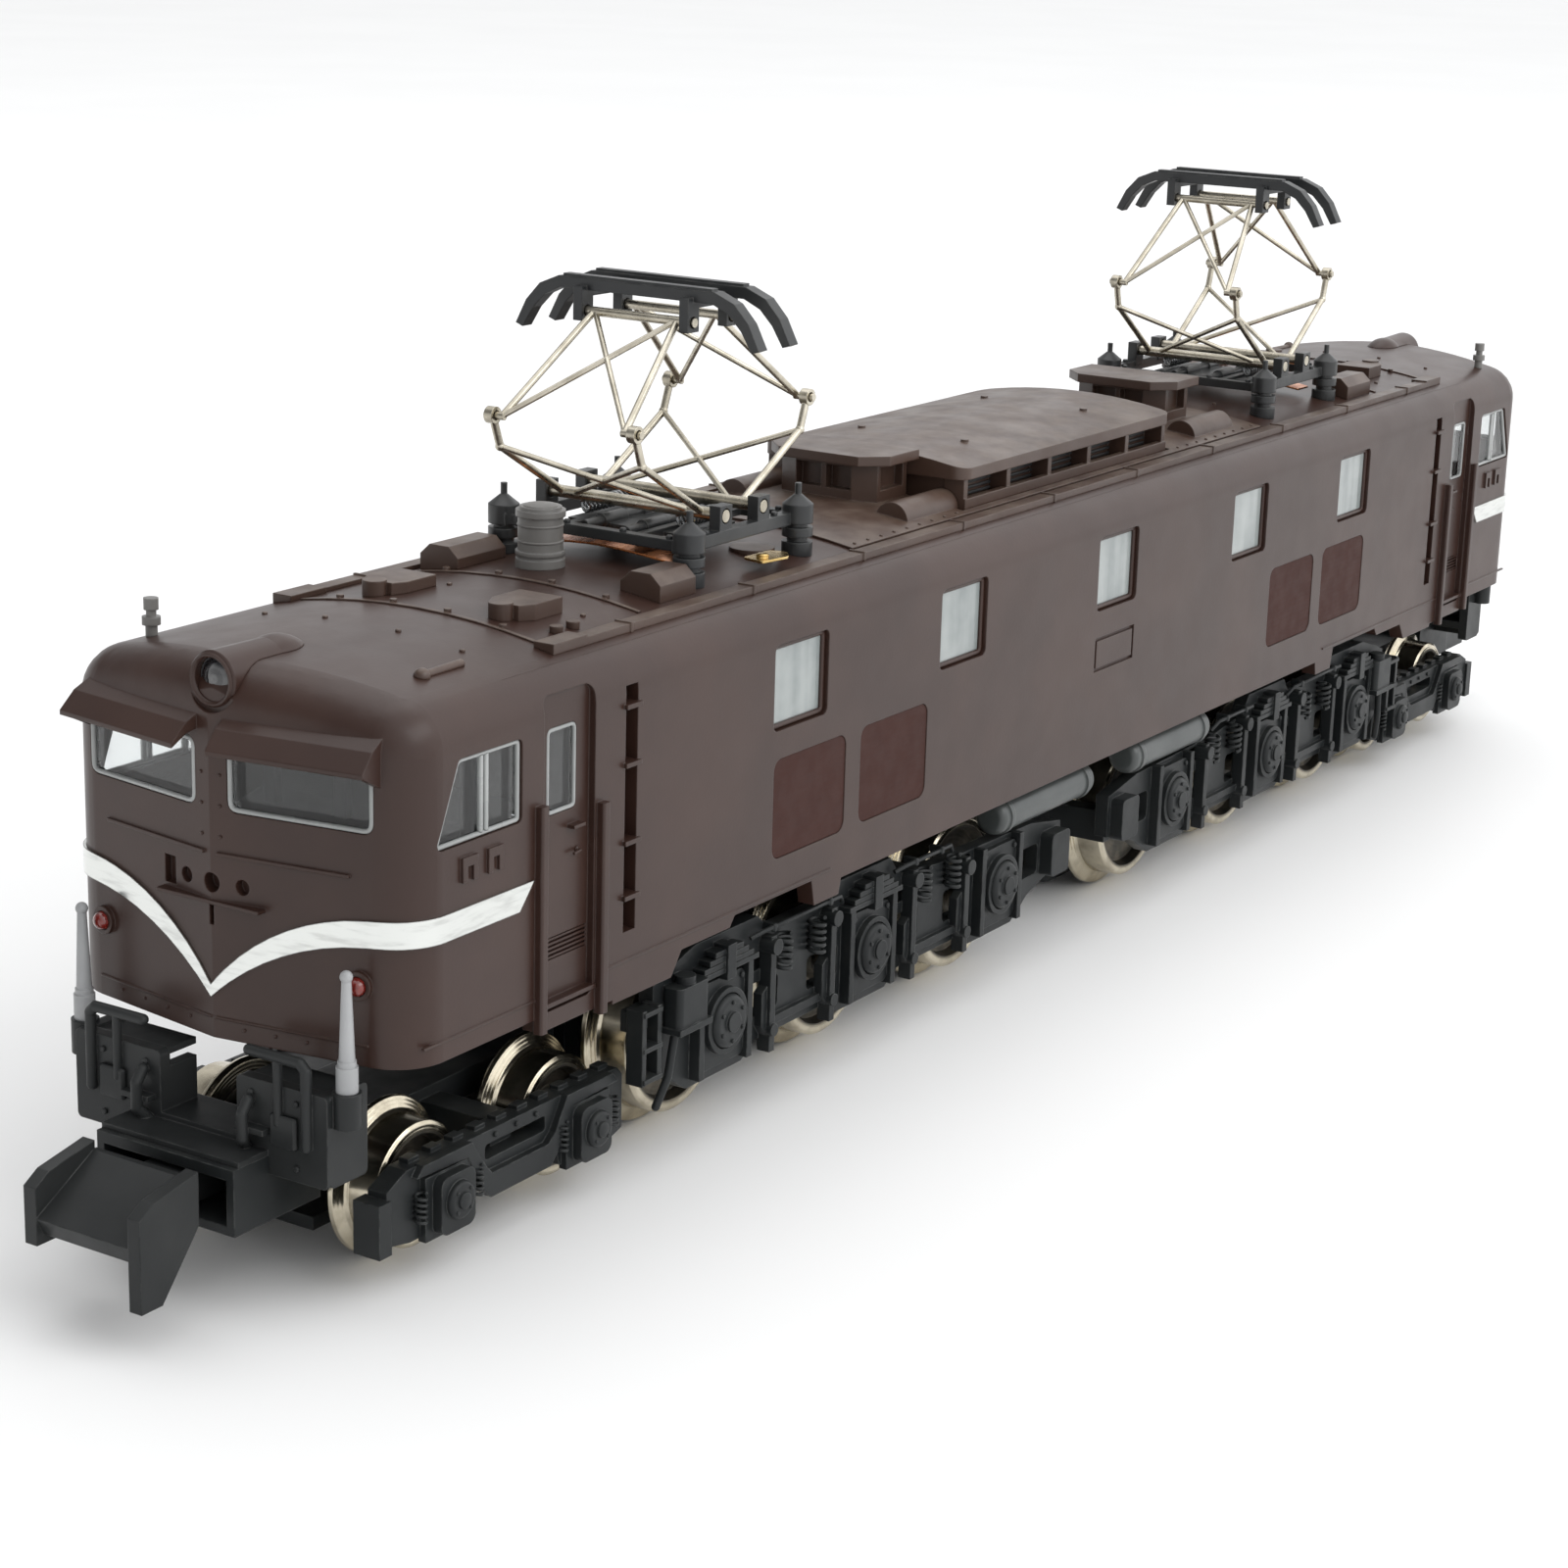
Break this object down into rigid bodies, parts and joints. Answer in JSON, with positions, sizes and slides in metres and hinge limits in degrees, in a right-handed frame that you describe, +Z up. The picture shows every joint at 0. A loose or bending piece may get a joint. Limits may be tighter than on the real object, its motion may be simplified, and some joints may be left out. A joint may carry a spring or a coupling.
{
  "type": "model electric locomotive",
  "caption": "Streamlined articulated electric locomotive model for 9 mm gauge track, with folding diamond pantographs, geared drive and swivelling bogies.",
  "frame": {"origin": "on the plane under the wheel flanges, below the middle of the locomotive", "axes": "+X along the locomotive from end a to end b, +Y to the left seen from end a's cab looking at end b, +Z up"},
  "size_m": [0.14, 0.0194, 0.04],
  "materials": {
    "body_brown": "satin, moulded in colour",
    "filter_brown": "matt",
    "roof_brown": "satin",
    "clear_glazing": "clear moulded",
    "lamp_lens": "clear moulded",
    "red_lens": "clear red",
    "bright_trim": "bright plated",
    "grey_fittings": "satin grey",
    "pan_black": "satin near-black",
    "nickel_silver": "bare nickel silver",
    "die_cast": "blackened zinc casting",
    "motor_steel": "plated steel",
    "rotor_brass": "turned",
    "worm_black": "moulded",
    "gear_white": "moulded",
    "board_green": "glass fibre board",
    "under_grey": "satin dark grey",
    "tank_grey": "satin grey",
    "wheel_nickel": "bright nickel plating on brass"
  },
  "bodies": {
    "body": {"body_shell": "body_brown", "roof_hatch": "roof_brown", "roof_fittings": "roof_brown", "air_filters": "filter_brown", "side_glazing": "clear_glazing", "cab_glass_a": "clear_glazing", "cab_glass_b": "clear_glazing", "headlights": "body_brown", "headlight_lenses": "lamp_lens", "tail_lenses": "red_lens", "trim_bands": "bright_trim", "whistles": "grey_fittings", "lightning_arrester": "grey_fittings", "pan_base_a": "pan_black", "pan_base_b": "pan_black", "chassis_left": "die_cast", "chassis_right": "die_cast", "motor_case": "motor_steel", "light_board": "board_green", "air_tanks": "tank_grey"},
    "motor_rotor": {"motor_shaft": "rotor_brass", "worms": "worm_black"},
    "bogie_a": {"bogie_frame_a": "under_grey", "bogie_keeper_a": "under_grey"},
    "driver1_a": {"driver1_a": "wheel_nickel"},
    "driver2_a": {"driver2_a": "wheel_nickel"},
    "driver3_a": {"driver3_a": "wheel_nickel"},
    "idler1_a": {"idler_gear1_a": "gear_white"},
    "idler2_a": {"idler_gear2_a": "gear_white"},
    "tower_a": {"tower_gear_a": "gear_white"},
    "truck_a": {"truck_frame_a": "under_grey", "end_deck_a": "under_grey", "deck_posts_a": "grey_fittings"},
    "leader1_a": {"leader1_a": "wheel_nickel"},
    "leader2_a": {"leader2_a": "wheel_nickel"},
    "coupler_a": {"coupler_a": "under_grey"},
    "pan_lower_outer_a": {"pan_lower_outer_a": "nickel_silver"},
    "pan_upper_outer_a": {"pan_upper_outer_a": "nickel_silver"},
    "pan_lower_inner_a": {"pan_lower_inner_a": "nickel_silver"},
    "pan_upper_inner_a": {"pan_upper_inner_a": "nickel_silver"},
    "pan_head_a": {"pan_head_a": "pan_black"},
    "bogie_b": {"bogie_frame_b": "under_grey", "bogie_keeper_b": "under_grey"},
    "driver1_b": {"driver1_b": "wheel_nickel"},
    "driver2_b": {"driver2_b": "wheel_nickel"},
    "driver3_b": {"driver3_b": "wheel_nickel"},
    "idler1_b": {"idler_gear1_b": "gear_white"},
    "idler2_b": {"idler_gear2_b": "gear_white"},
    "tower_b": {"tower_gear_b": "gear_white"},
    "truck_b": {"truck_frame_b": "under_grey", "end_deck_b": "under_grey", "deck_posts_b": "grey_fittings"},
    "leader1_b": {"leader1_b": "wheel_nickel"},
    "leader2_b": {"leader2_b": "wheel_nickel"},
    "coupler_b": {"coupler_b": "under_grey"},
    "pan_lower_outer_b": {"pan_lower_outer_b": "nickel_silver"},
    "pan_upper_outer_b": {"pan_upper_outer_b": "nickel_silver"},
    "pan_lower_inner_b": {"pan_lower_inner_b": "nickel_silver"},
    "pan_upper_inner_b": {"pan_upper_inner_b": "nickel_silver"},
    "pan_head_b": {"pan_head_b": "pan_black"}
  },
  "joints": [
    {"name": "motor_spin", "type": "hinge", "parent": "body", "child": "motor_rotor", "pos_m": [0, 0, 0.01699], "axis": [1, 0, 0], "continuous": true},
    {"name": "bogie_a_swivel", "type": "hinge", "parent": "body", "child": "bogie_a", "pos_m": [-0.0236, 0, 0.0115], "axis": [0, 0, 1], "range_deg": [-4, 4]},
    {"name": "driver1_a_spin", "type": "hinge", "parent": "bogie_a", "child": "driver1_a", "pos_m": [-0.0368, 0, 0.00495], "axis": [0, 1, 0], "continuous": true},
    {"name": "driver2_a_spin", "type": "hinge", "parent": "bogie_a", "child": "driver2_a", "pos_m": [-0.0236, 0, 0.00495], "axis": [0, 1, 0], "continuous": true},
    {"name": "driver3_a_spin", "type": "hinge", "parent": "bogie_a", "child": "driver3_a", "pos_m": [-0.0104, 0, 0.00495], "axis": [0, 1, 0], "continuous": true},
    {"name": "idler1_a_spin", "type": "hinge", "parent": "bogie_a", "child": "idler1_a", "pos_m": [-0.0302, 0, 0.00495], "axis": [0, 1, 0], "continuous": true},
    {"name": "idler2_a_spin", "type": "hinge", "parent": "bogie_a", "child": "idler2_a", "pos_m": [-0.017, 0, 0.00495], "axis": [0, 1, 0], "continuous": true},
    {"name": "tower_a_spin", "type": "hinge", "parent": "bogie_a", "child": "tower_a", "pos_m": [-0.0236, 0, 0.01175], "axis": [0, 1, 0], "continuous": true},
    {"name": "truck_a_swivel", "type": "hinge", "parent": "bogie_a", "child": "truck_a", "pos_m": [-0.0421, 0, 0.005], "axis": [0, 0, 1], "range_deg": [-5, 5]},
    {"name": "leader1_a_spin", "type": "hinge", "parent": "truck_a", "child": "leader1_a", "pos_m": [-0.0561, 0, 0.0035], "axis": [0, 1, 0], "continuous": true},
    {"name": "leader2_a_spin", "type": "hinge", "parent": "truck_a", "child": "leader2_a", "pos_m": [-0.0462, 0, 0.0035], "axis": [0, 1, 0], "continuous": true},
    {"name": "coupler_a_swing", "type": "hinge", "parent": "truck_a", "child": "coupler_a", "pos_m": [-0.062, 0, 0.0051], "axis": [0, 0, 1], "range_deg": [-15, 15]},
    {"name": "pan_a_lower_outer", "type": "hinge", "parent": "body", "child": "pan_lower_outer_a", "pos_m": [-0.0327, 0, 0.0287], "axis": [0, 1, 0], "range_deg": [-30, 11]},
    {"name": "pan_a_upper_outer", "type": "hinge", "parent": "pan_lower_outer_a", "child": "pan_upper_outer_a", "pos_m": [-0.03829, 0, 0.03307], "axis": [0, 1, 0], "range_deg": [-22, 60]},
    {"name": "pan_a_lower_inner", "type": "hinge", "parent": "body", "child": "pan_lower_inner_a", "pos_m": [-0.0295, 0, 0.0287], "axis": [0, 1, 0], "range_deg": [-11, 30]},
    {"name": "pan_a_upper_inner", "type": "hinge", "parent": "pan_lower_inner_a", "child": "pan_upper_inner_a", "pos_m": [-0.02391, 0, 0.03307], "axis": [0, 1, 0], "range_deg": [-60, 22]},
    {"name": "pan_a_head", "type": "hinge", "parent": "pan_upper_outer_a", "child": "pan_head_a", "pos_m": [-0.0327, 0, 0.03744], "axis": [0, 1, 0], "range_deg": [-30, 11]},
    {"name": "bogie_b_swivel", "type": "hinge", "parent": "body", "child": "bogie_b", "pos_m": [0.0236, 0, 0.0115], "axis": [0, 0, 1], "range_deg": [-4, 4]},
    {"name": "driver1_b_spin", "type": "hinge", "parent": "bogie_b", "child": "driver1_b", "pos_m": [0.0368, 0, 0.00495], "axis": [0, -1, 0], "continuous": true},
    {"name": "driver2_b_spin", "type": "hinge", "parent": "bogie_b", "child": "driver2_b", "pos_m": [0.0236, 0, 0.00495], "axis": [0, -1, 0], "continuous": true},
    {"name": "driver3_b_spin", "type": "hinge", "parent": "bogie_b", "child": "driver3_b", "pos_m": [0.0104, 0, 0.00495], "axis": [0, -1, 0], "continuous": true},
    {"name": "idler1_b_spin", "type": "hinge", "parent": "bogie_b", "child": "idler1_b", "pos_m": [0.0302, 0, 0.00495], "axis": [0, -1, 0], "continuous": true},
    {"name": "idler2_b_spin", "type": "hinge", "parent": "bogie_b", "child": "idler2_b", "pos_m": [0.017, 0, 0.00495], "axis": [0, -1, 0], "continuous": true},
    {"name": "tower_b_spin", "type": "hinge", "parent": "bogie_b", "child": "tower_b", "pos_m": [0.0236, 0, 0.01175], "axis": [0, -1, 0], "continuous": true},
    {"name": "truck_b_swivel", "type": "hinge", "parent": "bogie_b", "child": "truck_b", "pos_m": [0.0421, 0, 0.005], "axis": [0, 0, 1], "range_deg": [-5, 5]},
    {"name": "leader1_b_spin", "type": "hinge", "parent": "truck_b", "child": "leader1_b", "pos_m": [0.0561, 0, 0.0035], "axis": [0, -1, 0], "continuous": true},
    {"name": "leader2_b_spin", "type": "hinge", "parent": "truck_b", "child": "leader2_b", "pos_m": [0.0462, 0, 0.0035], "axis": [0, -1, 0], "continuous": true},
    {"name": "coupler_b_swing", "type": "hinge", "parent": "truck_b", "child": "coupler_b", "pos_m": [0.062, 0, 0.0051], "axis": [0, 0, 1], "range_deg": [-15, 15]},
    {"name": "pan_b_lower_outer", "type": "hinge", "parent": "body", "child": "pan_lower_outer_b", "pos_m": [0.0327, 0, 0.0287], "axis": [0, -1, 0], "range_deg": [-35, 6]},
    {"name": "pan_b_upper_outer", "type": "hinge", "parent": "pan_lower_outer_b", "child": "pan_upper_outer_b", "pos_m": [0.03789, 0, 0.03354], "axis": [0, -1, 0], "range_deg": [-12, 70]},
    {"name": "pan_b_lower_inner", "type": "hinge", "parent": "body", "child": "pan_lower_inner_b", "pos_m": [0.0295, 0, 0.0287], "axis": [0, -1, 0], "range_deg": [-6, 35]},
    {"name": "pan_b_upper_inner", "type": "hinge", "parent": "pan_lower_inner_b", "child": "pan_upper_inner_b", "pos_m": [0.02431, 0, 0.03354], "axis": [0, -1, 0], "range_deg": [-70, 12]},
    {"name": "pan_b_head", "type": "hinge", "parent": "pan_upper_outer_b", "child": "pan_head_b", "pos_m": [0.0327, 0, 0.03838], "axis": [0, -1, 0], "range_deg": [-35, 6]}
  ],
  "couplings": [
    {"joint": "driver1_a_spin", "follows": "motor_spin", "ratio": 0.0625},
    {"joint": "driver2_a_spin", "follows": "motor_spin", "ratio": 0.0625},
    {"joint": "driver3_a_spin", "follows": "motor_spin", "ratio": 0.0625},
    {"joint": "idler1_a_spin", "follows": "motor_spin", "ratio": -0.058824},
    {"joint": "idler2_a_spin", "follows": "motor_spin", "ratio": -0.058824},
    {"joint": "tower_a_spin", "follows": "motor_spin", "ratio": -0.055556},
    {"joint": "pan_a_lower_inner", "follows": "pan_a_lower_outer", "ratio": -1},
    {"joint": "pan_a_upper_outer", "follows": "pan_a_lower_outer", "ratio": -2},
    {"joint": "pan_a_upper_inner", "follows": "pan_a_lower_outer", "ratio": 2},
    {"joint": "pan_a_head", "follows": "pan_a_lower_outer", "ratio": 1},
    {"joint": "driver1_b_spin", "follows": "motor_spin", "ratio": -0.0625},
    {"joint": "driver2_b_spin", "follows": "motor_spin", "ratio": -0.0625},
    {"joint": "driver3_b_spin", "follows": "motor_spin", "ratio": -0.0625},
    {"joint": "idler1_b_spin", "follows": "motor_spin", "ratio": 0.058824},
    {"joint": "idler2_b_spin", "follows": "motor_spin", "ratio": 0.058824},
    {"joint": "tower_b_spin", "follows": "motor_spin", "ratio": 0.055556},
    {"joint": "pan_b_lower_inner", "follows": "pan_b_lower_outer", "ratio": -1},
    {"joint": "pan_b_upper_outer", "follows": "pan_b_lower_outer", "ratio": -2},
    {"joint": "pan_b_upper_inner", "follows": "pan_b_lower_outer", "ratio": 2},
    {"joint": "pan_b_head", "follows": "pan_b_lower_outer", "ratio": 1}
  ]
}
